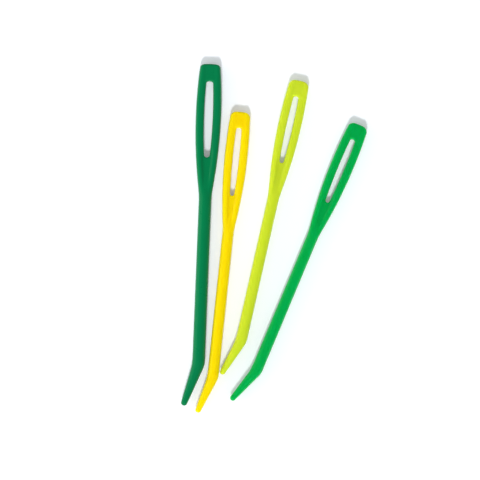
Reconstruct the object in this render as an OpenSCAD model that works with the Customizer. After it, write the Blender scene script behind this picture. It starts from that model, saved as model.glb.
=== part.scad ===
// Four bent-point yarn needles, one large and three small, each a single plastic moulding:
// a flat head with a long eye, a thread groove that runs from the eye down into the neck,
// a round shank, and a tapered point that bends to one side in the plane of the head.
// They lie on a table at z = 0 with their heads towards +Y and their points bent towards -X.

/* [Large needle] */
// Length overall, measured along the shank
large_len = 90.2; // [78:0.1:105]
// Diameter of the round shank
large_shank_d = 3.3; // [2.8:0.05:3.8]
// Width of the head at its widest place
large_head_w = 6.65; // [6:0.05:7.6]
// Thickness of the flat head around the eye
large_head_t = 2.4; // [1.8:0.05:3]
// Length of the head, from its end to the shank
large_head_len = 34.5; // [31:0.1:40]
// From the head's end to its widest place
large_wide_at = 13.2; // [10:0.1:17]
// Width across the head's end, before its corners are rounded
large_end_w = 5.25; // [4.4:0.05:5.8]
// Radius of the two corners at the head's end
large_end_r = 0.8; // [0.6:0.05:1.3]
// Length of the solid bar between the head's end and the eye
large_bar_len = 4.6; // [3.2:0.1:6]
// Length of the eye
large_eye_len = 20; // [15:0.1:22]
// Width of the eye at its widest place
large_eye_w = 2.2; // [1.8:0.05:2.8]
// Width of the eye at its upper end
large_eye_top_w = 1.65; // [1.2:0.05:1.75]
// Width of the eye at its lower end
large_eye_low_w = 1.35; // [0.9:0.05:1.75]
// Radius of the bend above the point, at the middle of the plastic
large_bend_r = 4; // [2.4:0.1:12]
// Length of the point, from the corner of the bend to its end
large_point_len = 11.6; // [8:0.1:15]
// Diameter of the point's rounded end
large_tip_d = 1.65; // [1:0.05:2.2]

/* [Small needles] */
// Length overall, measured along the shank
small_len = 80; // [70:0.1:92]
// Diameter of the round shank
small_shank_d = 2.95; // [2.5:0.05:3.5]
// Width of the head at its widest place
small_head_w = 6.05; // [5.4:0.05:6.8]
// Thickness of the flat head around the eye
small_head_t = 2.2; // [1.6:0.05:2.8]
// Length of the head, from its end to the shank
small_head_len = 31.2; // [29:0.1:37]
// From the head's end to its widest place
small_wide_at = 11.5; // [9:0.1:15]
// Width across the head's end, before its corners are rounded
small_end_w = 5.1; // [4.2:0.05:5.3]
// Radius of the two corners at the head's end
small_end_r = 1.2; // [0.6:0.05:1.5]
// Length of the solid bar between the head's end and the eye
small_bar_len = 4.3; // [3.2:0.1:6]
// Length of the eye
small_eye_len = 17.9; // [14:0.1:20]
// Width of the eye at its widest place
small_eye_w = 1.6; // [1.3:0.05:2.2]
// Width of the eye at its upper end
small_eye_top_w = 1.25; // [0.9:0.05:1.3]
// Width of the eye at its lower end
small_eye_low_w = 1; // [0.8:0.05:1.3]
// Radius of the bend above the point, at the middle of the plastic
small_bend_r = 4; // [2.2:0.1:12]
// Length of the point, from the corner of the bend to its end
small_point_len = 10.2; // [7:0.1:13]
// Diameter of the point's rounded end
small_tip_d = 1.5; // [0.9:0.05:2]

/* [Moulding] */
// Angle between each point and its shank
bend_angle = 18.2; // [8:0.1:30]
// How far the fillet inside the bend runs on past the bend, at both ends
bend_past = 1.4; // [0.5:0.1:2.5]
// Depth of the thread groove below the crests of the limbs
groove_depth = 0.45; // [0.2:0.05:0.7]
// Width of the rounded rim around the eye
rim_w = 0.25; // [0.1:0.05:0.4]
// Length of the rounded rim at both ends of the eye
rim_len = 0.6; // [0.3:0.05:1]
// How far the rim rounds down into the eye
rim_drop = 0.2; // [0.05:0.05:0.35]
// How far the eye's wall leans out from its middle, so that the moulding leaves its mould
wall_draft = 0.08; // [0:0.01:0.15]
// Length of the rounded corners at the upper end of the eye
eye_top_r = 0.45; // [0.25:0.05:0.8]
// Length of the round lower end of the eye
eye_low_r = 0.65; // [0.3:0.05:1]
// Length over which the bar's flat face turns into the two rounded limbs
top_blend = 2.5; // [1.5:0.1:4]
// Length over which the limbs' faces turn into the sides of the groove
low_blend = 5; // [3:0.1:7]
// Depth of the shallow dip along the middle of the bar
bar_dip = 0.12; // [0:0.02:0.3]
// How far the head's end bulges in the middle
end_crown = 0.25; // [0:0.05:0.5]
// Radius of the upper and lower edges at the head's end
end_edge_r = 0.5; // [0.2:0.05:0.7]
// Fillet where the head's sides run into the shank
neck_fillet = 0.3; // [0.1:0.05:0.5]

/* [Layout] */
// Lean of the large dark green needle, clockwise from +Y
dark_green_lean = 2.3; // [0:0.1:2.8]
// Lean of the yellow needle
yellow_lean = 6; // [5.8:0.1:8]
// Lean of the lime needle
lime_lean = 12.7; // [11:0.1:17]
// Lean of the green needle
green_lean = 22.7; // [20:0.1:28]
// Gap between the dark green needle's bend and the yellow shank
dark_green_gap = 1; // [0.5:0.1:4]
// How far up the yellow shank the dark green needle's bend lies
dark_green_up = 3; // [2:0.1:8]
// Gap between the lime needle's end and the yellow shank
lime_gap = 0.2; // [0.1:0.05:2]
// How far up the yellow shank the lime needle's end lies
lime_up = 1.7; // [1:0.1:8]
// Gap between the green needle's bend and the line of the lime shank
green_gap = 2.7; // [1.5:0.1:6]
// How far below the lime needle's bend the green needle's bend lies
green_down = 6.8; // [2:0.1:9]

/* [Hidden] */

large = [
    large_len, large_shank_d, large_head_w, large_head_t, large_head_len, large_wide_at,
    large_end_w, large_end_r, large_bar_len, large_eye_len, large_eye_w, large_eye_top_w,
    large_eye_low_w, large_bend_r, large_point_len, large_tip_d
];
small = [
    small_len, small_shank_d, small_head_w, small_head_t, small_head_len, small_wide_at,
    small_end_w, small_end_r, small_bar_len, small_eye_len, small_eye_w, small_eye_top_w,
    small_eye_low_w, small_bend_r, small_point_len, small_tip_d
];

// Each value of a list of sizes by its name
function overall_len(s) = s[0];
function shank_d(s) = s[1];
function head_w(s) = s[2];
function head_t(s) = s[3];
function head_len(s) = s[4];
function wide_at(s) = s[5];
function end_w(s) = s[6];
function end_r(s) = s[7];
function bar_len(s) = s[8];
function eye_len(s) = s[9];
function eye_w(s) = s[10];
function eye_top_w(s) = s[11];
function eye_low_w(s) = s[12];
function bend_r(s) = s[13];
function point_len(s) = s[14];
function tip_d(s) = s[15];

// Steps across the eye's rim, over a limb's face to its crest, and on to the head's side
rim_steps = 1;
face_steps = 3;
side_steps = 4;
quarter_steps = rim_steps + face_steps + side_steps;
// Steps down the wall of the eye, from its rim to half the thickness
wall_steps = 2;
// Rings around each rounded end, over the rim at each end of the eye, along the eye, along
// the neck and its fillet, round the bend, and over its inner fillet at each end
round_rings = 4;
rim_rings_n = 3;
eye_rings_n = 9;
neck_rings_n = 6;
fillet_rings_n = 3;
bend_rings_n = 5;
past_rings_n = 2;
// Fullness of a limb's section: 2 is an ellipse, more is squarer
limb_fullness = 2.3;
// Roundness of a limb's face towards the eye: near 0 is an even slope, 1 is a quarter circle
face_roundness = 0.6;
// How long the two limbs keep their shape down the neck before they blend into the shank
limb_hold = 3;
// How the groove's floor narrows down the neck: 1 is a plain wedge, more is fuller
floor_taper = 1.1;

// General helpers
function mix(a, b, f) = a + (b - a) * f;
function within(f) = min(max(f, 0), 1);
function ease(f) = let(g = within(f)) g * g * (3 - 2 * g);
function quarter_rise(f) = sqrt(1 - pow(1 - within(f), 2));
function quarter_fall(f) = 1 - sqrt(1 - pow(within(f), 2));
function smooth_max(a, b, k) = max(a, b) + pow(max(k - abs(a - b), 0), 2) / (4 * k);

// A circular arc that has fallen by drop after run, starting level
function arc_r(run, drop) = (run * run + drop * drop) / (2 * drop);
function arc_fall(run, drop, at) =
    drop <= 0 ? 0 : let(r = arc_r(run, drop)) r - sqrt(max(r * r - at * at, 0));

// Distances from the head's end, and the places that follow from a list of sizes
function eye_top(s) = bar_len(s);
function eye_low(s) = bar_len(s) + eye_len(s);
function neck_run(s) = head_len(s) - wide_at(s);
function neck_drop(s) = (head_w(s) - shank_d(s)) / 2;
function neck_end(s) =
    let(fall = neck_drop(s) + neck_fillet, r = arc_r(neck_run(s), neck_drop(s)))
    wide_at(s) + sqrt(fall * (2 * r - fall));
function tip_r(s) = tip_d(s) / 2;
function tip_centre(s) = (point_len(s) - tip_r(s)) * [-sin(bend_angle), -cos(bend_angle)];
function body_len(s) = overall_len(s) - tip_r(s) + tip_centre(s).y;
function bend_run(s) = bend_r(s) * tan(bend_angle / 2);

// Distances along the needle's middle line: where the bend starts and ends, and the middle
// of the rounded end
function bend_start(s) = body_len(s) - bend_run(s);
function bend_end(s) = bend_start(s) + bend_r(s) * bend_angle * PI / 180;
function tip_at(s) = bend_end(s) + point_len(s) - tip_r(s) - bend_run(s);

// Half width of the head: an arc from the widest place to the end and another to the shank,
// with a fillet into the shank and rounded corners at the end
function side_arc(s, u) =
    u < wide_at(s)
        ? head_w(s) / 2 - arc_fall(wide_at(s), (head_w(s) - end_w(s)) / 2, wide_at(s) - u)
        : head_w(s) / 2 - arc_fall(neck_run(s), neck_drop(s), u - wide_at(s));
function side_x(s, u) =
    smooth_max(side_arc(s, u), shank_d(s) / 2, neck_fillet)
    - end_r(s) * (1 - quarter_rise(u / end_r(s)));

// Half width of the eye as if its ends were square, and its share that is left round them
function eye_side(s, u) =
    let(at = min(max(u, eye_top(s)), eye_low(s)))
    at < wide_at(s)
        ? (eye_w(s) / 2
            - arc_fall(wide_at(s) - eye_top(s), (eye_w(s) - eye_top_w(s)) / 2, wide_at(s) - at))
        : (eye_w(s) / 2
            - arc_fall(eye_low(s) - wide_at(s), (eye_w(s) - eye_low_w(s)) / 2, at - wide_at(s)));
function openness(s, u) =
    quarter_rise((u - eye_top(s)) / eye_top_r) * quarter_rise((eye_low(s) - u) / eye_low_r);

// Half thickness: flat around the eye, and swelling down the neck to the round shank
function half_t(s, u) =
    let(neck = (u - eye_low(s)) / (neck_end(s) - eye_low(s)))
    mix(head_t(s), shank_d(s), ease(neck)) / 2 - end_edge_r * (1 - quarter_rise(u / end_edge_r));

// Line of each limb's crest: midway across it, and then at one distance from the outside
function limb_half(s) = (side_x(s, eye_low(s)) - eye_side(s, eye_low(s))) / 2;
function crest_x(s, u) =
    u < eye_low(s) ? (side_x(s, u) + eye_side(s, u)) / 2 : side_x(s, u) - limb_half(s);

// Edge of the sunk floor between the limbs, which runs along the eye's rim and narrows to
// nothing down the neck
function down_neck(s, u) = within((u - eye_low(s)) / (head_len(s) - eye_low(s)));
function floor_x(s, u) = (eye_side(s, u) + rim_w) * (1 - pow(down_neck(s, u), floor_taper));

// How far that floor lies under the crests, and how far the eye's rim rounds down from it
function sink(s, u) = mix(bar_dip, groove_depth, ease((u - eye_top(s) + rim_len) / top_blend));
function rim_fall(s, u) =
    let(from_bar = u - eye_top(s) + rim_len, from_neck = eye_low(s) + rim_len - u)
    rim_drop * quarter_fall(min(from_bar, from_neck) / rim_len);

// 0 where a limb's face is round like a rod's, 1 where it dips to a flat floor
function flatness(s, u) =
    1 - ease((u - eye_top(s)) / top_blend) * ease((eye_low(s) - u) / low_blend);
function rod_fall(f) =
    (1 - sqrt(1 - face_roundness * f * f)) / (1 - sqrt(1 - face_roundness));

// Section of the head: a quarter of a round bar, and a limb from the eye's rim over its
// crest to its side; limbs is how much of the section is two limbs and not one round bar
function limbs(s, u) = 1 - pow(down_neck(s, u), limb_hold);
function bar_quarter(side, half) = [
    for (i = [0:quarter_steps])
        let(turn = 90 * i / quarter_steps)
        [side * sin(turn), half * cos(turn)]
];
function limb_face(s, u, half) =
    let(
        floor_edge = floor_x(s, u),
        crest = crest_x(s, u),
        draft_x = eye_side(s, u) + wall_draft,
        whole = within((crest - floor_edge) / (crest - draft_x)),
        flat = flatness(s, u),
        depth = sink(s, u)
    )
    [
        [draft_x * openness(s, u), half - depth - rim_fall(s, u)],
        for (i = [face_steps:-1:1])
            let(f = i / face_steps, fall = mix(rod_fall(f * whole), ease(f), flat))
            [mix(crest, floor_edge, f), half - depth * fall]
    ];
function limb_side(side, crest, half) = [
    for (i = [0:side_steps])
        let(turn = 90 * i / side_steps, power = 2 / limb_fullness)
        [mix(crest, side, pow(sin(turn), power)), half * pow(cos(turn), power)]
];
function head_quarter(s, u) =
    let(
        side = side_x(s, u),
        half = half_t(s, u),
        bar = bar_quarter(side, half),
        limb = concat(limb_face(s, u, half), limb_side(side, crest_x(s, u), half)),
        share = limbs(s, u)
    )
    [for (i = [0:quarter_steps]) mix(bar[i], limb[i], share)];

// Radius of the round part: the shank, and the taper from the bend to the rounded end
function round_r(s, u) =
    let(taper = within((u - bend_start(s)) / (tip_at(s) - bend_start(s))))
    let(over = max(u - tip_at(s), 0))
    sqrt(max(pow(mix(shank_d(s) / 2, tip_r(s), taper), 2) - over * over, 0));
function quarter(s, u) =
    u < neck_end(s) ? head_quarter(s, u) : bar_quarter(round_r(s, u), round_r(s, u));

// Plastic that the fillet inside the bend adds: the cut that an arc of radius r leaves off a
// corner at a distance along its side, for the fillet's own arc less the bend's inner arc
function corner_cut(r, along) = pow(max(r * tan(bend_angle / 2) - along, 0), 2) / (2 * r);
function inner_fill(s, u) =
    let(
        half_arc = (bend_end(s) - bend_start(s)) / 2,
        from_middle = abs(u - bend_start(s) - half_arc),
        inner_r = bend_r(s) - shank_d(s) / 2,
        in_bend = from_middle * inner_r / bend_r(s),
        past_bend = from_middle - half_arc * (1 - inner_r / bend_r(s)),
        fillet_r = inner_r + bend_past / tan(bend_angle / 2),
        along = max(in_bend, past_bend)
    )
    corner_cut(fillet_r, along) - corner_cut(inner_r, along);

// How wide a half of the section is drawn: the half inside the bend has the fillet besides
function widened(s, u, side) = side > 0 ? 1 : 1 + inner_fill(s, u) / round_r(s, u);

// A point of the section at u set in the needle, with the bulge of the head's end, and
// turned round the bend
function in_needle(s, u, p) =
    let(
        bulge = end_crown * pow(2 * p.x / end_w(s), 2) * within(1 - u / eye_top(s)),
        turn = bend_angle * within((u - bend_start(s)) / (bend_end(s) - bend_start(s))),
        before = min(u, bend_start(s)) + bulge,
        after = max(u - bend_end(s), 0),
        r = bend_r(s) + p.x
    )
    [
        r * cos(turn) - bend_r(s) - after * sin(turn),
        body_len(s) - before - r * sin(turn) - after * cos(turn),
        p.y
    ];

// Half of the section, from the top of its inner edge round the side to the bottom;
// side is 1 for the right half and -1 for the left
function outer_row(s, u, side) =
    let(q = quarter(s, u), across = side * widened(s, u, side))
    [
        for (i = [0:quarter_steps]) in_needle(s, u, [across * q[i].x, q[i].y]),
        for (i = [quarter_steps - 1:-1:0]) in_needle(s, u, [across * q[i].x, -q[i].y])
    ];

// Wall of the eye, from the bottom of the limb's inner edge to the top
function wall_row(s, u, side) =
    let(edge = head_quarter(s, u)[0], draft = wall_draft * openness(s, u))
    [
        for (i = [-wall_steps:wall_steps])
            let(f = i / wall_steps, x = edge.x - draft * (1 - f * f))
            in_needle(s, u, [side * x, edge.y * f])
    ];

// Distances of the rings from the head's end
function end_rings(s) = [
    for (i = [0:round_rings]) end_r(s) * (1 - cos(90 * i / round_rings)),
    mix(end_r(s), eye_top(s) - rim_len, 0.5),
    for (i = [0:rim_rings_n - 1]) eye_top(s) - rim_len * (1 - sin(90 * i / rim_rings_n))
];
function eye_rings(s) =
    let(top = eye_top(s) + eye_top_r, low = eye_low(s) - eye_low_r)
    [
        for (i = [0:round_rings]) eye_top(s) + eye_top_r * (1 - cos(90 * i / round_rings)),
        for (i = [1:eye_rings_n - 1]) mix(top, low, i / eye_rings_n),
        for (i = [round_rings:-1:0]) eye_low(s) - eye_low_r * (1 - cos(90 * i / round_rings))
    ];
function neck_rings(s) = [
    for (i = [rim_rings_n - 1:-1:0]) eye_low(s) + rim_len * (1 - sin(90 * i / rim_rings_n)),
    for (i = [1:neck_rings_n]) mix(eye_low(s) + rim_len, head_len(s), i / neck_rings_n),
    for (i = [1:fillet_rings_n]) mix(head_len(s), neck_end(s), i / fillet_rings_n)
];
function point_rings(s) = [
    for (i = [past_rings_n:-1:1]) bend_start(s) - bend_past * i / past_rings_n,
    for (i = [0:bend_rings_n]) mix(bend_start(s), bend_end(s), i / bend_rings_n),
    for (i = [1:past_rings_n]) bend_end(s) + bend_past * i / past_rings_n,
    for (i = [0:round_rings - 1]) tip_at(s) + tip_r(s) * sin(90 * i / round_rings)
];
function rings(s) = concat(end_rings(s), eye_rings(s), neck_rings(s), point_rings(s));

// Triangles of a sheet of points in rows, across the head's end, and around the very tip
function sheet_faces(rows, cols, first) = [
    for (r = [0:rows - 2], c = [0:cols - 2])
        let(a = first + r * cols + c, b = a + cols)
        each [[a, a + 1, b], [a + 1, b + 1, b]]
];
function end_faces(cols) = [
    for (i = [0:quarter_steps - 1])
        let(low = cols - 1 - i)
        each i < quarter_steps - 1 ? [[i, low, i + 1], [i + 1, low, low - 1]] : [[i, low, i + 1]]
];
function tip_faces(cols, first, tip) = [for (i = [0:cols - 2]) [first + i, first + i + 1, tip]];
function turned(faces, n) = [for (f = faces) [f[0] + n, f[2] + n, f[1] + n]];

// The whole moulding as one skin over its rings, made as two halves that meet in the middle
module needle_body(s) {
    us = rings(s);
    eye = eye_rings(s);
    cols = 2 * quarter_steps + 1;
    wall_cols = 2 * wall_steps + 1;
    outer_n = len(us) * cols;
    tip = outer_n + len(eye) * wall_cols;
    halves = [
        for (side = [1, -1])
            [
                for (u = us) each outer_row(s, u, side),
                for (u = eye) each wall_row(s, u, side),
                in_needle(s, tip_at(s) + tip_r(s), [0, 0])
            ]
    ];
    faces = concat(
        sheet_faces(len(us), cols, 0),
        sheet_faces(len(eye), wall_cols, outer_n),
        end_faces(cols),
        tip_faces(cols, outer_n - cols, tip)
    );
    polyhedron(points = concat(halves[0], halves[1]), faces = concat(faces, turned(faces, tip + 1)));
}

module needle(s, place) {
    translate([place.x - middle.x, place.y - middle.y, shank_d(s) / 2])
        rotate([0, 0, -place[2]])
            needle_body(s);
}

// Each needle's place is where the corner of its bend lies, and its lean
function at_place(place, p) =
    let(a = place[2])
    [place.x + p.x * cos(a) + p.y * sin(a), place.y - p.x * sin(a) + p.y * cos(a)];
function with_lean(p, lean) = [p.x, p.y, lean];

yellow_place = [0, 0, yellow_lean];
dark_green_beside = [-(small_shank_d + large_shank_d) / 2 - dark_green_gap, dark_green_up];
dark_green_place = with_lean(at_place(yellow_place, dark_green_beside), dark_green_lean);
lime_tip_beside = [small_shank_d / 2 + lime_gap + tip_r(small), lime_up];
lime_turned = at_place([0, 0, lime_lean], tip_centre(small));
lime_place = with_lean(at_place(yellow_place, lime_tip_beside) - lime_turned, lime_lean);
green_beside = [small_shank_d + green_gap, -green_down];
green_place = with_lean(at_place(lime_place, green_beside), green_lean);

// Middle of the four needles' outline, which is the origin
function outline_points(s, place) = concat(
    [
        for (u = end_rings(s), side = [-1, 1], p = outer_row(s, u, side))
            at_place(place, [p.x, p.y])
    ],
    [
        for (a = [0:90:270])
            at_place(place, tip_centre(s)) + tip_r(s) * [cos(a), sin(a)]
    ]
);
outline = concat(
    outline_points(large, dark_green_place),
    outline_points(small, yellow_place),
    outline_points(small, lime_place),
    outline_points(small, green_place)
);
outline_x = [for (p = outline) p.x];
outline_y = [for (p = outline) p.y];
middle = [max(outline_x) + min(outline_x), max(outline_y) + min(outline_y)] / 2;

module dark_green_needle() {
    color("#007d49") needle(large, dark_green_place);
}

module yellow_needle() {
    color("#fadb0c") needle(small, yellow_place);
}

module lime_needle() {
    color("#c8dc2d") needle(small, lime_place);
}

module green_needle() {
    color("#02aa4e") needle(small, green_place);
}

dark_green_needle();
yellow_needle();
lime_needle();
green_needle();
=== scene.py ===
import math

import bmesh
import bpy
from bpy.props import FloatProperty, FloatVectorProperty, PointerProperty
from bpy.types import Operator, Panel, PropertyGroup
from mathutils import Matrix, Vector


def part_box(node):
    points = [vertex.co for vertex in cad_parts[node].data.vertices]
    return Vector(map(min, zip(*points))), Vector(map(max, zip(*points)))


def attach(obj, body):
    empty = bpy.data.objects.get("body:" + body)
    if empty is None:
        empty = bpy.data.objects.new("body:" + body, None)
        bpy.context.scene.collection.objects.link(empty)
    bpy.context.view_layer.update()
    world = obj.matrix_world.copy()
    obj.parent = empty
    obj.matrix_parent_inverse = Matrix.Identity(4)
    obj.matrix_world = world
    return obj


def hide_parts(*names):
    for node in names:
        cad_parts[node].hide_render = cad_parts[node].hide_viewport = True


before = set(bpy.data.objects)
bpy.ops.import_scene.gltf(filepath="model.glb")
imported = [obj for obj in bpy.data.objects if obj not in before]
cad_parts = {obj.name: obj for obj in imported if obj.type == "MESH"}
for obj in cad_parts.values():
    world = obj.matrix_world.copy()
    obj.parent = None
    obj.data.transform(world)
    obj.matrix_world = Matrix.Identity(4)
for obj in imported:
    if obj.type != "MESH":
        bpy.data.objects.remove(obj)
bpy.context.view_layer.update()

bl_info = {
    "name": "Bent-point yarn needles",
    "version": (1, 0, 0),
    "blender": (4, 5, 0),
    "location": "View3D > Sidebar > Yarn needles",
    "description": "Makes moulded plastic yarn needles with long eyes, and a plain stage for them",
    "category": "Add Mesh",
}

BODY = "root"
MM = 0.001

# Each size of a needle: its label, what it is, and its limits in millimetres
SIZE_WORDS = {
    "length": ("Length", "Length overall, measured along the shank", 60, 120),
    "shank_d": ("Shank diameter", "Diameter of the round shank", 2, 5),
    "head_w": ("Head width", "Width of the head at its widest place", 4, 10),
    "head_t": ("Head thickness", "Thickness of the flat head around the eye", 1.5, 4),
    "head_len": ("Head length", "From the head's end to the shank", 25, 50),
    "wide_at": ("Widest place", "From the head's end to its widest place", 8, 20),
    "end_w": ("End width", "Width across the head's end, before its corners", 3, 8),
    "end_r": ("Corner radius", "Radius of the two corners at the head's end", 0.3, 2),
    "bar_len": ("Bar length", "Solid bar between the head's end and the eye", 2, 8),
    "eye_len": ("Eye length", "Length of the eye", 10, 30),
    "eye_w": ("Eye width", "Width of the eye at its widest place", 1, 4),
    "eye_top_w": ("Eye top width", "Width of the eye at its upper end", 0.8, 3),
    "eye_low_w": ("Eye low width", "Width of the eye at its lower end", 0.8, 3),
    "bend_r": ("Bend radius", "Radius of the bend above the point, at its middle", 2.5, 20),
    "point_len": ("Point length", "From the corner of the bend to the tip", 5, 20),
    "tip_d": ("Tip diameter", "Diameter of the rounded tip", 0.8, 3),
}
LARGE_MM = {
    "length": 90.2, "shank_d": 3.3, "head_w": 6.65, "head_t": 2.4, "head_len": 34.5,
    "wide_at": 13.2, "end_w": 5.25, "end_r": 0.8, "bar_len": 4.6, "eye_len": 20.0,
    "eye_w": 2.2, "eye_top_w": 1.65, "eye_low_w": 1.35, "bend_r": 4.0,
    "point_len": 11.6, "tip_d": 1.65,
}
SMALL_MM = {
    "length": 80.0, "shank_d": 2.95, "head_w": 6.05, "head_t": 2.2, "head_len": 31.2,
    "wide_at": 11.5, "end_w": 5.1, "end_r": 1.2, "bar_len": 4.3, "eye_len": 17.9,
    "eye_w": 1.6, "eye_top_w": 1.25, "eye_low_w": 1.0, "bend_r": 4.0,
    "point_len": 10.2, "tip_d": 1.5,
}
# Each needle's lean on the table, clockwise from +Y
LEANS = {
    "dark_green": math.radians(2.3),
    "yellow": math.radians(6.0),
    "lime": math.radians(12.7),
    "green": math.radians(22.7),
}
# Weight of the light that scatters inside each plastic: none in the dense dark green one
TRANSLUCENCY = {"dark_green": 0.0, "yellow": 1.0, "lime": 1.0, "green": 1.0}


def distance(name, description, millimetres, low, high):
    """A length property, shown in the scene's unit and held in metres."""
    return FloatProperty(
        name=name,
        description=description,
        default=millimetres * MM,
        min=low * MM,
        max=high * MM,
        unit="LENGTH",
        subtype="DISTANCE",
        precision=3,
    )


def share(name, description, default):
    """A property between 0 and 1."""
    return FloatProperty(
        name=name, description=description, default=default, min=0, max=1, subtype="FACTOR"
    )


def angle(name, description, degrees, low, high):
    """An angle property, shown in degrees and held in radians."""
    return FloatProperty(
        name=name,
        description=description,
        default=math.radians(degrees),
        min=math.radians(low),
        max=math.radians(high),
        unit="ROTATION",
        subtype="ANGLE",
    )


def colour(name, description, default):
    """A linear colour property."""
    return FloatVectorProperty(
        name=name,
        description=description,
        default=default,
        size=3,
        min=0,
        max=1,
        subtype="COLOR",
    )


def size_properties(defaults):
    """The sizes of one needle as properties, with their defaults in millimetres."""
    return {
        key: distance(label, description, defaults[key], low, high)
        for key, (label, description, low, high) in SIZE_WORDS.items()
    }


class LargeNeedleSizes(PropertyGroup):
    """Sizes of the large needle"""

    __annotations__ = size_properties(LARGE_MM)


class SmallNeedleSizes(PropertyGroup):
    """Sizes of the small needles"""

    __annotations__ = size_properties(SMALL_MM)


class MouldingDetails(PropertyGroup):
    """Details that every needle's moulding has"""

    bend_angle: angle("Bend", "Angle between each point and its shank", 18.2, 5, 45)
    bend_past: distance(
        "Bend fillet", "How far the fillet inside the bend runs on past it", 1.4, 0.2, 3
    )
    groove_depth: distance("Groove depth", "Depth of the thread groove", 0.45, 0, 1)
    rim_w: distance("Rim width", "Width of the rounded rim around the eye", 0.25, 0.05, 0.6)
    rim_len: distance("Rim length", "Length of the rim at both ends of the eye", 0.6, 0.1, 1.5)
    rim_drop: distance("Rim drop", "How far the rim rounds down into the eye", 0.2, 0, 0.4)
    wall_draft: distance("Draft", "How far the eye's wall leans out from its middle", 0.08, 0, 0.3)
    eye_top_r: distance("Eye top radius", "Corners at the eye's upper end", 0.45, 0.1, 1)
    eye_low_r: distance("Eye low radius", "Round lower end of the eye", 0.65, 0.1, 1)
    top_blend: distance(
        "Top blend", "Length over which the bar's face turns into the limbs'", 2.5, 1, 5
    )
    low_blend: distance(
        "Low blend", "Length over which the limbs' faces turn into the groove's", 5, 2, 8
    )
    bar_dip: distance("Bar dip", "Shallow dip along the middle of the bar", 0.12, 0, 0.4)
    end_crown: distance("End crown", "How far the head's end bulges in the middle", 0.25, 0, 1)
    end_edge_r: distance("End edge", "Radius of the end's upper and lower edges", 0.5, 0.1, 1)
    neck_fillet: distance("Neck fillet", "Where the head's sides run into the shank", 0.3, 0.05, 1)
    seam_w: distance(
        "Parting line width", "Half width of the line where the mould parts", 0.06, 0.02, 0.2
    )
    seam_h: distance("Parting line height", "How far the parting line stands proud", 0.02, 0, 0.1)


class PlasticFinish(PropertyGroup):
    """Colours and surface of the coloured plastics"""

    dark_green: colour("Dark green", "Plastic of the large needle", (0.001, 0.195, 0.064))
    yellow: colour("Yellow", "Plastic of the yellow needle", (0.955, 0.71, 0.002))
    lime: colour("Lime", "Plastic of the lime needle", (0.61, 0.735, 0.03))
    green: colour("Green", "Plastic of the green needle", (0.001, 0.43, 0.082))
    roughness: share("Roughness", "How matt the moulded skin is", 0.3)
    roughness_spread: share("Roughness spread", "How much the skin's gloss varies", 0.08)
    mottle: share("Mottle", "How much the pigment varies from place to place", 0.03)
    streaks: share("Flow streaks", "Strength of the streaks along the flow of the plastic", 0.025)
    grain: share("Grain", "Strength of the fine grain of the mould's skin", 0.15)
    sheen: share("Sheen", "Strength of the skin's reflections, half for a bare plastic", 0.26)
    sheen_tint: share("Sheen tint", "How far the skin's reflections take the plastic's hue", 0.7)
    depth: distance("Light depth", "How far light spreads inside the paler plastics", 1.4, 0, 5)


class StageSettings(PropertyGroup):
    """Light, floor and camera"""

    key_power: FloatProperty(
        name="Key light", description="Strength of the key light", default=1.92, min=0, max=20
    )
    key_height: angle("Key height", "Height of the key light above the table", 49, 5, 90)
    key_turn: angle("Key turn", "How far the key light stands to the left of -Y", 8, -90, 90)
    key_softness: angle("Key softness", "Width of the key light as the needles see it", 9, 0, 60)
    side_power: FloatProperty(
        name="Side light", description="Power of the low strip light on the left", default=0.036,
        min=0, max=1, unit="POWER",
    )
    surround_low: FloatProperty(
        name="Surround, low", description="Strength of the soft light from near the horizon",
        default=1.0, min=0, max=2,
    )
    surround_high: FloatProperty(
        name="Surround, high", description="Strength of the soft light from straight above",
        default=0.28, min=0, max=2,
    )
    surround_gloss: share("Surround in gloss", "Strength of the surround in reflections", 0.05)
    floor_tone: share("Floor tone", "How pale the floor is in the lamps' light", 0.86)
    floor_lift: share("Floor lift", "White that the camera sees on the floor besides", 0.19)
    view_width: distance(
        "View width", "Width of the table that the camera takes in", 126.58, 50, 500
    )
    camera_height: distance(
        "Camera height", "Height of the camera above the table", 1300, 300, 5000
    )
    camera_x: distance("Camera X", "Place of the camera along X", -8.94, -500, 500)
    camera_y: distance("Camera Y", "Place of the camera along Y", -0.43, -500, 500)


def mix(a, b, f):
    """The value a share f of the way from a to b."""
    return a + (b - a) * f


def within(f):
    """The number f held between 0 and 1."""
    return min(max(f, 0.0), 1.0)


def ease(f):
    """A smooth rise from 0 to 1."""
    g = within(f)
    return g * g * (3 - 2 * g)


def quarter_rise(f):
    """A quarter circle's rise from 0 to 1: steep first, level last."""
    return math.sqrt(1 - (1 - within(f)) ** 2)


def round_fall(f):
    """A quarter circle's fall from 0 to 1: level first, steep last."""
    return 1 - math.sqrt(1 - within(f) ** 2)


def smooth_max(a, b, k):
    """The larger of two values, with a fillet where they cross."""
    return max(a, b) + max(k - abs(a - b), 0) ** 2 / (4 * k)


def arc_fall(run, drop, at):
    """How far an arc that starts level and falls by drop over run has fallen at a place."""
    if drop <= 0:
        return 0.0
    r = (run * run + drop * drop) / (2 * drop)
    return r - math.sqrt(max(r * r - at * at, 0))


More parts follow.
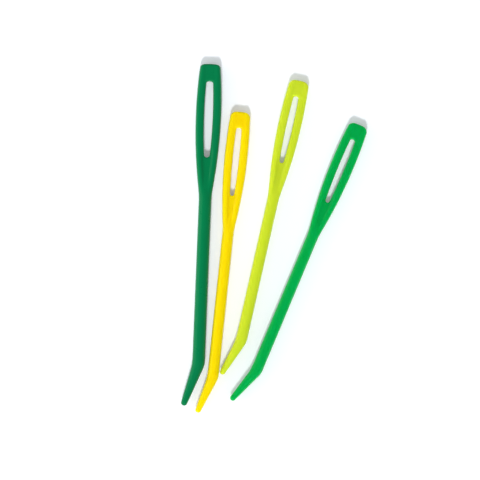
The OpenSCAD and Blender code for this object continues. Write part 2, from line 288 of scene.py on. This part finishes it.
class NeedleForm:
    """Outline and sections of one needle.

    A place u is measured along the needle's middle line from the head's end. A section's points
    are pairs: across from the middle, and up from half the thickness.
    """

    LIMB_FULLNESS = 2.3  # 2 makes a limb's side an ellipse, and more makes it squarer
    FACE_ROUNDNESS = 0.6  # near 0 makes a limb's inner face an even slope, and 1 a quarter circle
    LIMB_HOLD = 3  # how long the two limbs keep their shape down the neck
    FLOOR_TAPER = 1.1  # how the groove's floor narrows: 1 makes it a plain wedge
    # Steps round the eye's rim, over a limb's inner face, down its side, and along half the wall
    RIM_STEPS = 3
    FACE_STEPS = 8
    SIDE_STEPS = 9
    WALL_STEPS = 4
    RIDGE_SHARE = 0.2  # the parting line is never wider than this share of a section

    def __init__(self, sizes, details):
        for key in SIZE_WORDS:
            setattr(self, key, getattr(sizes, key))
        self.details = details
        self.shank_r = self.shank_d / 2
        self.tip_r = self.tip_d / 2
        self.eye_top = self.bar_len
        self.eye_low = self.bar_len + self.eye_len
        self.neck_run = self.head_len - self.wide_at
        self.neck_drop = (self.head_w - self.shank_d) / 2
        fall = self.neck_drop + details.neck_fillet
        neck_r = (self.neck_run ** 2 + self.neck_drop ** 2) / (2 * self.neck_drop)
        self.neck_end = self.wide_at + math.sqrt(fall * (2 * neck_r - fall))
        bend = details.bend_angle
        straight_tip = (self.point_len - self.tip_r) * math.cos(bend)
        self.body_len = self.length - self.tip_r - straight_tip
        bend_run = self.bend_r * math.tan(bend / 2)
        self.bend_start = self.body_len - bend_run
        self.bend_end = self.bend_start + self.bend_r * bend
        self.tip_at = self.bend_end + self.point_len - self.tip_r - bend_run
        self.quarter_steps = self.RIM_STEPS + self.FACE_STEPS + self.SIDE_STEPS

    def side_arc(self, u):
        """Half width of the head by its two arcs alone."""
        if u < self.wide_at:
            drop = (self.head_w - self.end_w) / 2
            return self.head_w / 2 - arc_fall(self.wide_at, drop, self.wide_at - u)
        return self.head_w / 2 - arc_fall(self.neck_run, self.neck_drop, u - self.wide_at)

    def side_x(self, u):
        """Half width of the head, with the neck's fillet and the end's corners."""
        side = smooth_max(self.side_arc(u), self.shank_r, self.details.neck_fillet)
        return side - self.end_r * (1 - quarter_rise(u / self.end_r))

    def eye_side(self, u):
        """Half width of the eye, as if its ends were square."""
        at = min(max(u, self.eye_top), self.eye_low)
        if at < self.wide_at:
            run, drop = self.wide_at - self.eye_top, (self.eye_w - self.eye_top_w) / 2
            return self.eye_w / 2 - arc_fall(run, drop, self.wide_at - at)
        run, drop = self.eye_low - self.wide_at, (self.eye_w - self.eye_low_w) / 2
        return self.eye_w / 2 - arc_fall(run, drop, at - self.wide_at)

    def openness(self, u):
        """1 along the eye, falling to 0 round its two ends."""
        upper = quarter_rise((u - self.eye_top) / self.details.eye_top_r)
        return upper * quarter_rise((self.eye_low - u) / self.details.eye_low_r)

    def half_t(self, u):
        """Half thickness: flat around the eye, and swelling down the neck to the shank."""
        neck = (u - self.eye_low) / (self.neck_end - self.eye_low)
        edge = self.details.end_edge_r
        return mix(self.head_t, self.shank_d, ease(neck)) / 2 - edge * (1 - quarter_rise(u / edge))

    def crest_x(self, u):
        """Crest of a limb: midway across it, and then at one distance from the outside."""
        if u < self.eye_low:
            return (self.side_x(u) + self.eye_side(u)) / 2
        low = self.eye_low
        return self.side_x(u) - (self.side_x(low) - self.eye_side(low)) / 2

    def floor_x(self, u):
        """Edge of the sunk floor: along the eye's rim, and narrowing to nothing down the neck."""
        down = within((u - self.eye_low) / (self.head_len - self.eye_low))
        return (self.eye_side(u) + self.details.rim_w) * (1 - down ** self.FLOOR_TAPER)

    def sink(self, u):
        """How far the floor lies under the crests."""
        d = self.details
        return mix(d.bar_dip, d.groove_depth, ease((u - self.eye_top + d.rim_len) / d.top_blend))

    def rim_fall(self, u):
        """How far the eye's rim rounds down at the middle of the floor."""
        d = self.details
        upper = (u - self.eye_top + d.rim_len) / d.rim_len
        lower = (self.eye_low + d.rim_len - u) / d.rim_len
        return d.rim_drop * round_fall(min(upper, lower))

    def flatness(self, u):
        """0 where a limb's face is round like a rod's, 1 where it dips to a flat floor."""
        d = self.details
        return 1 - ease((u - self.eye_top) / d.top_blend) * ease((self.eye_low - u) / d.low_blend)

    def limbs(self, u):
        """1 where the section is two limbs, 0 where it is one round bar."""
        down = within((u - self.eye_low) / (self.head_len - self.eye_low))
        return 1 - down ** self.LIMB_HOLD

    def rod_fall(self, f):
        """Fall of a round limb's face from its crest, as a share of its whole fall."""
        r = self.FACE_ROUNDNESS
        return (1 - math.sqrt(1 - r * f * f)) / (1 - math.sqrt(1 - r))

    def head_quarter(self, u):
        """Points of the head's upper right quarter, from the middle over the crest to the side."""
        d = self.details
        side, half = self.side_x(u), self.half_t(u)
        crest, floor, sink = self.crest_x(u), self.floor_x(u), self.sink(u)
        openness, flat, limbs = self.openness(u), self.flatness(u), self.limbs(u)
        edge = self.eye_side(u) * openness + d.wall_draft * openness
        whole = within((crest - floor) / (crest - self.eye_side(u) - d.wall_draft))
        floor_fall = mix(self.rod_fall(whole), 1, flat)
        points = []
        for i in range(self.RIM_STEPS):
            turn = math.pi / 2 * (1 - i / self.RIM_STEPS)
            rounding = mix(ease(math.sin(turn)), 1 - math.cos(turn), openness)
            drop = mix(floor_fall * sink, sink + self.rim_fall(u), rounding)
            points.append((mix(floor, edge, math.sin(turn)), half - drop))
        for i in range(self.FACE_STEPS):
            f = 1 - i / self.FACE_STEPS
            fall = mix(self.rod_fall(f * whole), ease(f), flat)
            points.append((mix(crest, floor, f), half - sink * fall))
        seam = min(d.seam_w, half * self.RIDGE_SHARE)
        power = 2 / self.LIMB_FULLNESS
        for i in range(self.SIDE_STEPS):
            turn = math.pi / 2 * i / self.SIDE_STEPS
            across = math.sin(turn) ** power
            points.append((mix(crest, side, across), half * math.cos(turn) ** power))
        across = (1 - (seam / half) ** self.LIMB_FULLNESS) ** (1 / self.LIMB_FULLNESS)
        points.append((mix(crest, side, across), seam))
        bar = self.round_section(side, half, seam)
        points = [
            (mix(b[0], p[0], limbs), mix(b[1], p[1], limbs)) for b, p in zip(bar, points)
        ]
        return points + [(side + self.seam_rise(side), 0.0)]

    def round_section(self, across, up, seam):
        """Points of a quarter ellipse, the last one at the parting line's edge."""
        n = self.quarter_steps
        points = [
            (across * math.sin(math.pi / 2 * i / n), up * math.cos(math.pi / 2 * i / n))
            for i in range(n)
        ]
        return points + [(across * math.sqrt(1 - (seam / up) ** 2), seam)]

    def seam_rise(self, r):
        """How far the parting line stands proud of a section of this half width."""
        return min(self.details.seam_h, r * self.RIDGE_SHARE)

    def round_r(self, u):
        """Radius of the shank, of the taper to the tip, and of the tip's ball."""
        taper = within((u - self.bend_start) / (self.tip_at - self.bend_start))
        over = max(u - self.tip_at, 0)
        r = mix(self.shank_r, self.tip_r, taper)
        return math.sqrt(max(r * r - over * over, 0))

    def quarter(self, u):
        """Points of the section's upper right quarter at any place along the needle."""
        if u < self.neck_end:
            return self.head_quarter(u)
        r = self.round_r(u)
        seam = min(self.details.seam_w, r * self.RIDGE_SHARE)
        off_ball = within((self.tip_at - u) / self.tip_r)
        return self.round_section(r, r, seam) + [(r + self.seam_rise(r) * off_ball, 0.0)]

    def corner_cut(self, r, along):
        """What an arc of this radius leaves off the bend's corner, so far along its side."""
        return max(r * math.tan(self.details.bend_angle / 2) - along, 0) ** 2 / (2 * r)

    def widened(self, u, side):
        """How wide half of the section is drawn: inside the bend it has a fillet besides."""
        if side > 0:
            return 1.0
        half_arc = (self.bend_end - self.bend_start) / 2
        from_middle = abs(u - self.bend_start - half_arc)
        inner_r = self.bend_r - self.shank_r
        in_bend = from_middle * inner_r / self.bend_r
        past_bend = from_middle - half_arc * (1 - inner_r / self.bend_r)
        along = max(in_bend, past_bend)
        fillet_r = inner_r + self.details.bend_past / math.tan(self.details.bend_angle / 2)
        fill = self.corner_cut(fillet_r, along) - self.corner_cut(inner_r, along)
        return 1 + fill / max(self.round_r(u), self.tip_r / 2)

    def in_needle(self, u, x, z):
        """A section's point set in the needle, whose bend's corner is at the origin."""
        crown = self.details.end_crown * (2 * x / self.end_w) ** 2
        bulge = crown * within(1 - u / self.eye_top)
        bent = within((u - self.bend_start) / (self.bend_end - self.bend_start))
        turn = self.details.bend_angle * bent
        before = min(u, self.bend_start) + bulge
        after = max(u - self.bend_end, 0)
        r = self.bend_r + x
        return Vector((
            r * math.cos(turn) - self.bend_r - after * math.sin(turn),
            self.body_len - before - r * math.sin(turn) - after * math.cos(turn),
            z + self.shank_r,
        ))

    def outer_row(self, u, side):
        """Half of the section at u, from the top round the side to the bottom."""
        q = self.quarter(u)
        across = side * self.widened(u, side)
        upper = [self.in_needle(u, across * x, z) for x, z in q]
        lower = [self.in_needle(u, across * x, -z) for x, z in reversed(q[:-1])]
        return upper + lower

    def wall_row(self, u, side):
        """The eye's wall at u, from the bottom to the top, slightly proud at half thickness."""
        x, z = self.head_quarter(u)[0]
        draft = self.details.wall_draft * self.openness(u)
        steps = [i / self.WALL_STEPS for i in range(-self.WALL_STEPS, self.WALL_STEPS + 1)]
        return [self.in_needle(u, side * (x - draft * (1 - f * f)), z * f) for f in steps]


def spread(start, end, spacing):
    """Places from start up to but not including end, evenly and no further apart than spacing."""
    n = max(math.ceil((end - start) / spacing), 1)
    return [mix(start, end, i / n) for i in range(n)]


def round_spread(start, end, n):
    """Places from start up to but not including end, close together at the start."""
    return [mix(start, end, 1 - math.cos(math.pi / 2 * i / n)) for i in range(n)]


# How far apart the rings stand, and how many there are round a corner, a rim or the tip
HEAD_SPACING = 0.45 * MM
SHANK_SPACING = 1.6 * MM
BEND_SPACING = 0.1 * MM
ROUND_STEPS = 8
WELD_DISTANCE = 0.0005 * MM


def eye_places(form):
    """Places of the rings along the eye, its two ends included."""
    top = form.eye_top + form.details.eye_top_r
    low = form.eye_low - form.details.eye_low_r
    ends = round_spread(form.eye_low, low, ROUND_STEPS)
    places = round_spread(form.eye_top, top, ROUND_STEPS)
    return places + spread(top, low, HEAD_SPACING) + [low] + ends[::-1]


def all_places(form):
    """Places of all rings from the head's end to the ball of the tip."""
    rim, past = form.details.rim_len, form.details.bend_past
    rim_up = [form.eye_top - p for p in reversed(round_spread(0, rim, ROUND_STEPS)[1:])]
    rim_low = [form.eye_low + p for p in round_spread(0, rim, ROUND_STEPS)[1:]]
    tip = [form.tip_r * math.sin(math.pi / 2 * i / ROUND_STEPS) for i in range(ROUND_STEPS)]
    return (
        round_spread(0, form.end_r, ROUND_STEPS)
        + spread(form.end_r, form.eye_top - rim, HEAD_SPACING)
        + [form.eye_top - rim]
        + rim_up
        + eye_places(form)
        + rim_low
        + spread(form.eye_low + rim, form.neck_end, HEAD_SPACING)
        + spread(form.neck_end, form.bend_start - past, SHANK_SPACING)
        + spread(form.bend_start - past, form.bend_end + past, BEND_SPACING)
        + spread(form.bend_end + past, form.tip_at, SHANK_SPACING)
        + [form.tip_at + t for t in tip]
    )


def add_sheet(bm, rows):
    """Adds the faces between rows of vertices, and returns the rows."""
    made = [[bm.verts.new(p) for p in row] for row in rows]
    for one, two in zip(made, made[1:]):
        for a, b, c, d in zip(one, one[1:], two[1:], two):
            bm.faces.new((a, b, c, d))
    return made


def needle_mesh(name, form):
    """The needle's whole skin as one closed mesh."""
    bm = bmesh.new()
    eye = eye_places(form)
    for side in (1, -1):
        outer = add_sheet(bm, [form.outer_row(u, side) for u in all_places(form)])
        add_sheet(bm, [form.wall_row(u, side) for u in eye])
        end = outer[0]
        for i in range(form.quarter_steps + 1):
            low = len(end) - 1 - i
            last = low - i == 2  # its two inner corners are one point, at half thickness
            corners = (end[i], end[i + 1], end[low - 1], end[low])
            bm.faces.new((end[i], end[i + 1], end[low]) if last else corners)
        tip = bm.verts.new(form.in_needle(form.tip_at + form.tip_r, 0, 0))
        for a, b in zip(outer[-1], outer[-1][1:]):
            bm.faces.new((a, b, tip))
    bmesh.ops.remove_doubles(bm, verts=bm.verts, dist=WELD_DISTANCE)
    bmesh.ops.dissolve_degenerate(bm, edges=bm.edges, dist=WELD_DISTANCE)
    bmesh.ops.recalc_face_normals(bm, faces=bm.faces)
    mesh = bpy.data.meshes.new(name)
    bm.to_mesh(mesh)
    bm.free()
    mesh.shade_smooth()
    return mesh


def set_where_node_is(obj, node, lean):
    """Turns a needle by its lean and moves it to where its CAD node lies."""
    turn = Matrix.Rotation(-lean, 4, "Z")
    corners = [turn @ v.co for v in obj.data.vertices]
    low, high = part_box(node)
    middle = Vector((
        (min(p.x for p in corners) + max(p.x for p in corners)) / 2,
        (min(p.y for p in corners) + max(p.y for p in corners)) / 2,
        0,
    ))
    place = (low + high) / 2 - middle
    obj.data.transform(Matrix.Translation((place.x, place.y, 0)) @ turn)


# The plastic's noises: features to the metre, octaves, and stretch across and along the needle
MOTTLE_NOISE = (260, 3)
STREAK_NOISE = (900, 2, (1, 0.06, 1))
GLOSS_NOISE = (420, 4)
FINE_NOISE = (9000, 2)
DRAWN_NOISE = (1400, 2, (1, 0.08, 1))
DRAWN_WEIGHT = 2  # how much more the drawn grain counts than the fine one
GRAIN_HEIGHT = 0.01 * MM
PLASTIC_IOR = 1.47
DARKEST = 0.001  # a plastic's brightest channel is taken as no less when its hue is worked out


def surface_group():
    """The node group that gives every plastic its mottle, flow streaks, gloss and grain."""
    name = "moulded plastic surface"
    if name in bpy.data.node_groups:
        return bpy.data.node_groups[name]
    group = bpy.data.node_groups.new(name, "ShaderNodeTree")
    for socket, kind in (
        ("Colour", "NodeSocketColor"),
        ("Mottle", "NodeSocketFloat"),
        ("Streaks", "NodeSocketFloat"),
        ("Roughness", "NodeSocketFloat"),
        ("Roughness spread", "NodeSocketFloat"),
        ("Lean", "NodeSocketFloat"),
    ):
        group.interface.new_socket(socket, in_out="INPUT", socket_type=kind)
    for socket, kind in (
        ("Colour", "NodeSocketColor"),
        ("Roughness", "NodeSocketFloat"),
        ("Height", "NodeSocketFloat"),
    ):
        group.interface.new_socket(socket, in_out="OUTPUT", socket_type=kind)
    nodes, links = group.nodes, group.links
    start = nodes.new("NodeGroupInput")
    end = nodes.new("NodeGroupOutput")
    where = nodes.new("ShaderNodeTexCoord")
    along = nodes.new("ShaderNodeVectorRotate")
    along.rotation_type = "Z_AXIS"
    links.new(where.outputs["Object"], along.inputs["Vector"])
    links.new(start.outputs["Lean"], along.inputs["Angle"])

    def noise(scale, detail, stretch=(1, 1, 1)):
        """A noise texture with its Y along the needle, drawn out by stretch."""
        mapping = nodes.new("ShaderNodeMapping")
        mapping.inputs["Scale"].default_value = stretch
        texture = nodes.new("ShaderNodeTexNoise")
        texture.inputs["Scale"].default_value = scale
        texture.inputs["Detail"].default_value = detail
        links.new(along.outputs["Vector"], mapping.inputs["Vector"])
        links.new(mapping.outputs["Vector"], texture.inputs["Vector"])
        return texture.outputs["Fac"]

    def maths(operation, a, b):
        """A Math node with sockets or numbers as its two inputs."""
        node = nodes.new("ShaderNodeMath")
        node.operation = operation
        for value, socket in ((a, node.inputs[0]), (b, node.inputs[1])):
            if isinstance(value, (int, float)):
                socket.default_value = value
            else:
                links.new(value, socket)
        return node.outputs["Value"]

    def about_zero(value, strength):
        """Noise turned into a swing to both sides of 0, times a strength."""
        return maths("MULTIPLY", maths("SUBTRACT", value, 0.5), maths("MULTIPLY", strength, 2))

    mottle = about_zero(noise(*MOTTLE_NOISE), start.outputs["Mottle"])
    streaks = about_zero(noise(*STREAK_NOISE), start.outputs["Streaks"])
    light = maths("ADD", maths("ADD", mottle, streaks), 1)
    shade = nodes.new("ShaderNodeVectorMath")
    shade.operation = "SCALE"
    links.new(start.outputs["Colour"], shade.inputs["Vector"])
    links.new(light, shade.inputs["Scale"])
    links.new(shade.outputs["Vector"], end.inputs["Colour"])
    patches = about_zero(noise(*GLOSS_NOISE), start.outputs["Roughness spread"])
    links.new(maths("ADD", start.outputs["Roughness"], patches), end.inputs["Roughness"])
    fine = noise(*FINE_NOISE)
    drawn = maths("MULTIPLY", noise(*DRAWN_NOISE), DRAWN_WEIGHT)
    links.new(maths("ADD", fine, drawn), end.inputs["Height"])
    return group


def plastic(name, base, translucency, lean, finish):
    """A coloured plastic with the satin skin of a mould, for a needle that leans so far."""
    brightest = max(*base, DARKEST)
    hue = [mix(1, channel / brightest, finish.sheen_tint) for channel in base]
    material = bpy.data.materials.new(name)
    material.use_nodes = True
    nodes, links = material.node_tree.nodes, material.node_tree.links
    shader = nodes["Principled BSDF"]
    shader.inputs["IOR"].default_value = PLASTIC_IOR
    shader.inputs["Specular IOR Level"].default_value = finish.sheen
    shader.inputs["Specular Tint"].default_value = (*hue, 1)
    shader.inputs["Subsurface Weight"].default_value = translucency
    shader.inputs["Subsurface Radius"].default_value = (1, 1, 1)
    shader.inputs["Subsurface Scale"].default_value = finish.depth
    surface = nodes.new("ShaderNodeGroup")
    surface.node_tree = surface_group()
    surface.inputs["Colour"].default_value = (*base, 1)
    surface.inputs["Mottle"].default_value = finish.mottle
    surface.inputs["Streaks"].default_value = finish.streaks
    surface.inputs["Roughness"].default_value = finish.roughness
    surface.inputs["Roughness spread"].default_value = finish.roughness_spread
    surface.inputs["Lean"].default_value = lean
    bump = nodes.new("ShaderNodeBump")
    bump.inputs["Strength"].default_value = finish.grain
    bump.inputs["Distance"].default_value = GRAIN_HEIGHT
    links.new(surface.outputs["Colour"], shader.inputs["Base Color"])
    links.new(surface.outputs["Roughness"], shader.inputs["Roughness"])
    links.new(surface.outputs["Height"], bump.inputs["Height"])
    links.new(bump.outputs["Normal"], shader.inputs["Normal"])
    return material


def make_needle(context, key, sizes):
    """Makes one needle in the plastic of that name, in place of its CAD node."""
    scene = context.scene
    node = key + "_needle"
    form = NeedleForm(sizes, scene.needle_details)
    obj = bpy.data.objects.new(key + "_moulding", needle_mesh(key + "_moulding", form))
    scene.collection.objects.link(obj)
    set_where_node_is(obj, node, LEANS[key])
    finish = scene.needle_finish
    base, translucency = getattr(finish, key), TRANSLUCENCY[key]
    obj.data.materials.append(plastic(key + "_plastic", base, translucency, LEANS[key], finish))
    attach(obj, BODY)
    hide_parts(node)


class NEEDLES_OT_large_needle(Operator):
    """Makes the large dark green needle"""

    bl_idname = "yarn_needles.large_needle"
    bl_label = "Large needle"
    bl_options = {"REGISTER", "UNDO"}

    def execute(self, context):
        make_needle(context, "dark_green", context.scene.large_needle)
        return {"FINISHED"}


class NEEDLES_OT_small_needles(Operator):
    """Makes the three small needles: yellow, lime and green"""

    bl_idname = "yarn_needles.small_needles"
    bl_label = "Small needles"
    bl_options = {"REGISTER", "UNDO"}

    def execute(self, context):
        for key in ("yellow", "lime", "green"):
            make_needle(context, key, context.scene.small_needle)
        return {"FINISHED"}


def white_for_camera(nodes, links):
    """1 for rays that show a background: the camera's, and those off gloss or through glass."""
    path = nodes.new("ShaderNodeLightPath")
    both = nodes.new("ShaderNodeMath")
    both.operation = "MAXIMUM"
    links.new(path.outputs["Is Camera Ray"], both.inputs[0])
    links.new(path.outputs["Is Glossy Ray"], both.inputs[1])
    every = nodes.new("ShaderNodeMath")
    every.operation = "MAXIMUM"
    links.new(both.outputs["Value"], every.inputs[0])
    links.new(path.outputs["Is Transmission Ray"], every.inputs[1])
    return every.outputs["Value"]


def make_world(scene, settings):
    """A soft surround, dimmer overhead, and white where the camera sees it."""
    world = bpy.data.worlds.new("studio surround")
    world.use_nodes = True
    scene.world = world
    nodes, links = world.node_tree.nodes, world.node_tree.links
    background = nodes["Background"]
    background.inputs["Color"].default_value = (1, 1, 1, 1)
    direction = nodes.new("ShaderNodeTexCoord")
    split = nodes.new("ShaderNodeSeparateXYZ")
    links.new(direction.outputs["Generated"], split.inputs["Vector"])
    soft = nodes.new("ShaderNodeMix")
    soft.data_type = "FLOAT"
    soft.inputs["A"].default_value = settings.surround_low
    soft.inputs["B"].default_value = settings.surround_high
    links.new(split.outputs["Z"], soft.inputs["Factor"])
    path = nodes.new("ShaderNodeLightPath")
    in_gloss = nodes.new("ShaderNodeMix")
    in_gloss.data_type = "FLOAT"
    in_gloss.inputs["B"].default_value = settings.surround_gloss
    links.new(path.outputs["Is Glossy Ray"], in_gloss.inputs["Factor"])
    links.new(soft.outputs["Result"], in_gloss.inputs["A"])
    strength = nodes.new("ShaderNodeMix")
    strength.data_type = "FLOAT"
    strength.inputs["B"].default_value = 1
    links.new(path.outputs["Is Camera Ray"], strength.inputs["Factor"])
    links.new(in_gloss.outputs["Result"], strength.inputs["A"])
    links.new(strength.outputs["Result"], background.inputs["Strength"])


FLOOR_SIZE = 4  # metres
FLOOR_TINT = (1, 1.04, 1.1)  # a cool white


def make_floor(scene, settings):
    """A pale table top that shows white and keeps the needles' shadows."""
    bm = bmesh.new()
    bmesh.ops.create_grid(bm, x_segments=1, y_segments=1, size=FLOOR_SIZE / 2)
    mesh = bpy.data.meshes.new("table_top")
    bm.to_mesh(mesh)
    bm.free()
    floor = bpy.data.objects.new("table_top", mesh)
    scene.collection.objects.link(floor)
    material = bpy.data.materials.new("white table top")
    material.use_nodes = True
    nodes, links = material.node_tree.nodes, material.node_tree.links
    shader = nodes["Principled BSDF"]
    floor_colour = [settings.floor_tone * tint for tint in FLOOR_TINT]
    shader.inputs["Base Color"].default_value = (*floor_colour, 1)
    shader.inputs["Roughness"].default_value = 1
    shader.inputs["Specular IOR Level"].default_value = 0
    shader.inputs["Emission Color"].default_value = (1, 1, 1, 1)
    lift = nodes.new("ShaderNodeMath")
    lift.operation = "MULTIPLY"
    lift.inputs[1].default_value = settings.floor_lift
    links.new(white_for_camera(nodes, links), lift.inputs[0])
    links.new(lift.outputs["Value"], shader.inputs["Emission Strength"])
    mesh.materials.append(material)


def aim(obj, place, target):
    """Sets an object in a place and turns its -Z to a target."""
    obj.location = place
    obj.rotation_euler = (Vector(target) - Vector(place)).to_track_quat("-Z", "Y").to_euler()


SIDE_LAMP_SIZE = (180 * MM, 30 * MM)
SIDE_LAMP_PLACE = (-95 * MM, 0, 35 * MM)
SIDE_LAMP_TARGET = (-20 * MM, 0, 0)


def make_lights(scene, settings):
    """The key light from the near side, and a low strip light on the left."""
    key = bpy.data.lights.new("key light", "SUN")
    key.energy = settings.key_power
    key.angle = settings.key_softness
    key_lamp = bpy.data.objects.new("key light", key)
    flat = math.cos(settings.key_height)
    towards = Vector((
        -flat * math.sin(settings.key_turn),
        -flat * math.cos(settings.key_turn),
        math.sin(settings.key_height),
    ))
    aim(key_lamp, towards, (0, 0, 0))
    scene.collection.objects.link(key_lamp)
    side = bpy.data.lights.new("side light", "AREA")
    side.shape = "RECTANGLE"
    side.size, side.size_y = SIDE_LAMP_SIZE
    side.energy = settings.side_power
    side_lamp = bpy.data.objects.new("side light", side)
    aim(side_lamp, SIDE_LAMP_PLACE, SIDE_LAMP_TARGET)
    scene.collection.objects.link(side_lamp)


# The nearest and the farthest that the camera sees, as multiples of its height
CLIP_NEAR = 0.1
CLIP_FAR = 4


def make_camera(scene, settings):
    """A long lens straight above the table, with +Y up the picture."""
    camera = bpy.data.cameras.new("camera above")
    camera.lens = camera.sensor_width * settings.camera_height / settings.view_width
    camera.clip_start = settings.camera_height * CLIP_NEAR
    camera.clip_end = settings.camera_height * CLIP_FAR
    obj = bpy.data.objects.new("camera above", camera)
    obj.location = (settings.camera_x, settings.camera_y, settings.camera_height)
    scene.collection.objects.link(obj)
    scene.camera = obj


class NEEDLES_OT_stage(Operator):
    """Makes the table top, the lights and the camera"""

    bl_idname = "yarn_needles.stage"
    bl_label = "Stage"
    bl_options = {"REGISTER", "UNDO"}

    def execute(self, context):
        scene = context.scene
        settings = scene.needle_stage
        make_world(scene, settings)
        make_floor(scene, settings)
        make_lights(scene, settings)
        make_camera(scene, settings)
        scene.view_settings.view_transform = "Standard"
        return {"FINISHED"}


OPERATORS = (NEEDLES_OT_large_needle, NEEDLES_OT_small_needles, NEEDLES_OT_stage)
GROUPS = {
    "large_needle": LargeNeedleSizes,
    "small_needle": SmallNeedleSizes,
    "needle_details": MouldingDetails,
    "needle_finish": PlasticFinish,
    "needle_stage": StageSettings,
}


class NEEDLES_PT_panel(Panel):
    """Lists the needles' operators and their sizes"""

    bl_idname = "NEEDLES_PT_panel"
    bl_label = "Yarn needles"
    bl_space_type = "VIEW_3D"
    bl_region_type = "UI"
    bl_category = "Yarn needles"

    def draw(self, context):
        layout = self.layout
        layout.use_property_split = True
        for operator in OPERATORS:
            layout.operator(operator.bl_idname)
        for name, group in GROUPS.items():
            box = layout.box()
            box.label(text=group.__doc__)
            for key in group.__annotations__:
                box.prop(getattr(context.scene, name), key)


CLASSES = (*GROUPS.values(), *OPERATORS, NEEDLES_PT_panel)


def register():
    """Registers the classes and gives the scene its settings."""
    for cls in CLASSES:
        bpy.utils.register_class(cls)
    for name, group in GROUPS.items():
        setattr(bpy.types.Scene, name, PointerProperty(type=group))


def unregister():
    """Takes the settings and the classes away again."""
    for name in GROUPS:
        delattr(bpy.types.Scene, name)
    for cls in reversed(CLASSES):
        bpy.utils.unregister_class(cls)


def main():
    """Makes the needles and their stage."""
    register()
    bpy.ops.yarn_needles.large_needle()
    bpy.ops.yarn_needles.small_needles()
    bpy.ops.yarn_needles.stage()


if __name__ == "__main__":
    main()
